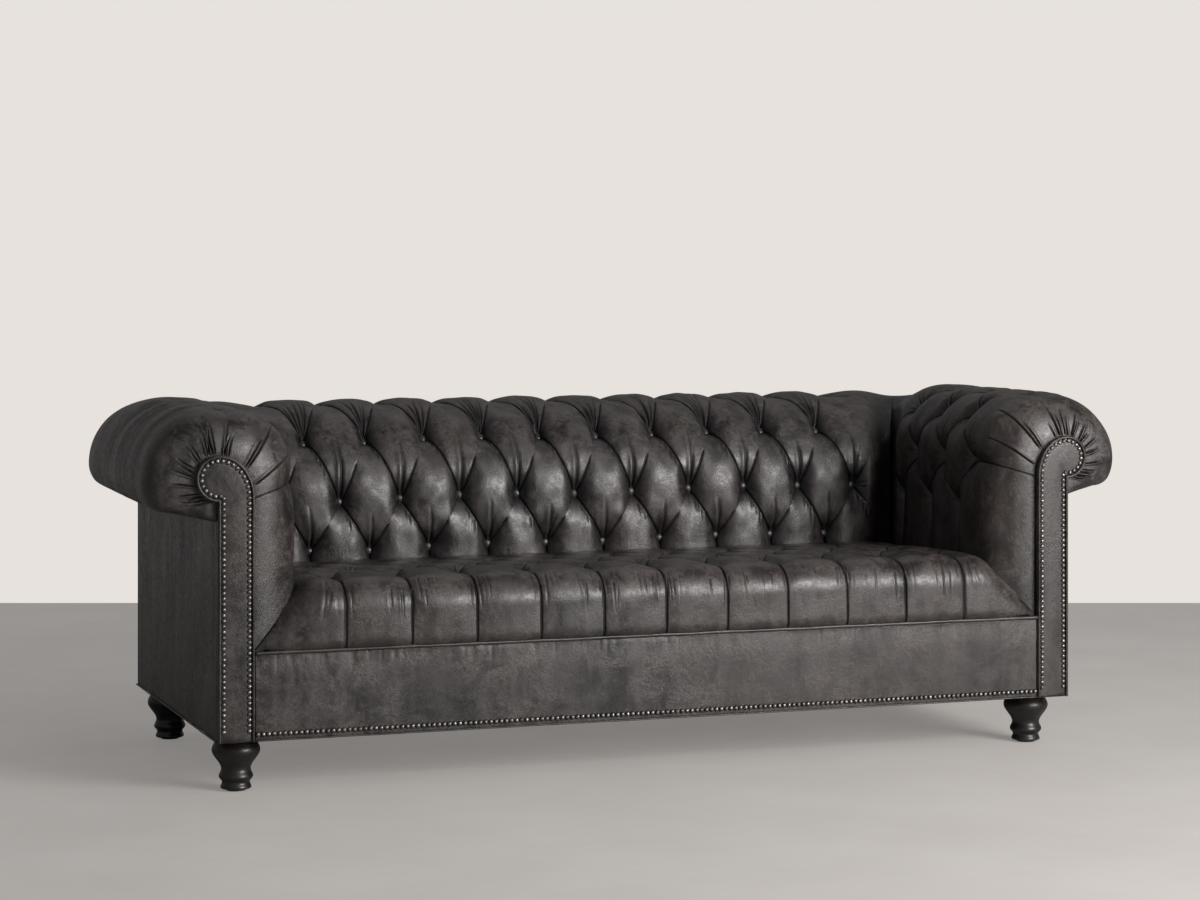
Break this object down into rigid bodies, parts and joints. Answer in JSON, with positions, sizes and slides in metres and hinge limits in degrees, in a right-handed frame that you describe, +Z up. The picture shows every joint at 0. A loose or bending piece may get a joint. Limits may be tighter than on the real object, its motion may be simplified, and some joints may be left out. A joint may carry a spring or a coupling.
{
  "type": "chesterfield sofa",
  "caption": "Fixed-seat chesterfield sofa: deep-buttoned leather back, rolled arms and tufted seat, nailed scroll facings, plain apron, turned wooden legs.",
  "frame": {"origin": "centre of the bounding box's base, on the floor", "axes": "+X along the sofa towards its right end as seen from the front, the front faces -Y, +Z up"},
  "size_m": [2.22, 0.948, 0.787],
  "materials": {
    "leather": "distressed charcoal brown, semi-gloss",
    "hardwood": "sawn and planed, unfinished",
    "black_wood": "satin black",
    "bronze": "antiqued",
    "steel": "zinc plated",
    "nylon": "matte",
    "webbing": "woven jute",
    "hessian": "open weave",
    "foam": "soft foam",
    "dust_cloth": "black cambric"
  },
  "bodies": {
    "root": {"arm_front_post_left": "hardwood", "arm_front_post_right": "hardwood", "arm_hessian_left": "hessian", "arm_hessian_right": "hessian", "arm_tack_rail_left": "hardwood", "arm_tack_rail_right": "hardwood", "arm_top_rail_left": "hardwood", "arm_top_rail_right": "hardwood", "back_hessian": "hessian", "back_rail": "hardwood", "back_scroll_rail": "hardwood", "back_tack_rail": "hardwood", "back_top_rail": "hardwood", "back_upright_left": "hardwood", "back_upright_right": "hardwood", "corner_block_front_left": "hardwood", "corner_block_front_right": "hardwood", "corner_block_rear_left": "hardwood", "corner_block_rear_right": "hardwood", "dust_cover": "dust_cloth", "facing_left": "leather", "facing_right": "leather", "facing_welt_left": "leather", "facing_welt_right": "leather", "front_apron": "leather", "front_rail": "hardwood", "glide_front_left": "nylon", "glide_front_right": "nylon", "glide_rear_left": "nylon", "glide_rear_right": "nylon", "inside_arm_left": "leather", "inside_arm_right": "leather", "inside_back": "leather", "leg_bolt_front_left": "steel", "leg_bolt_front_right": "steel", "leg_bolt_rear_left": "steel", "leg_bolt_rear_right": "steel", "leg_front_left": "black_wood", "leg_front_right": "black_wood", "leg_rear_left": "black_wood", "leg_rear_right": "black_wood", "nail_trim_front": "bronze", "nail_trim_left": "bronze", "nail_trim_right": "bronze", "outside_arm_left": "leather", "outside_arm_right": "leather", "outside_back": "leather", "rear_post_left": "hardwood", "rear_post_right": "hardwood", "seat_cover": "leather", "seat_foam": "foam", "seat_hessian": "hessian", "seat_stretcher_left": "hardwood", "seat_stretcher_right": "hardwood", "seat_webbing": "webbing", "seat_welt": "leather", "side_rail_left": "hardwood", "side_rail_right": "hardwood"}
  },
  "joints": []
}
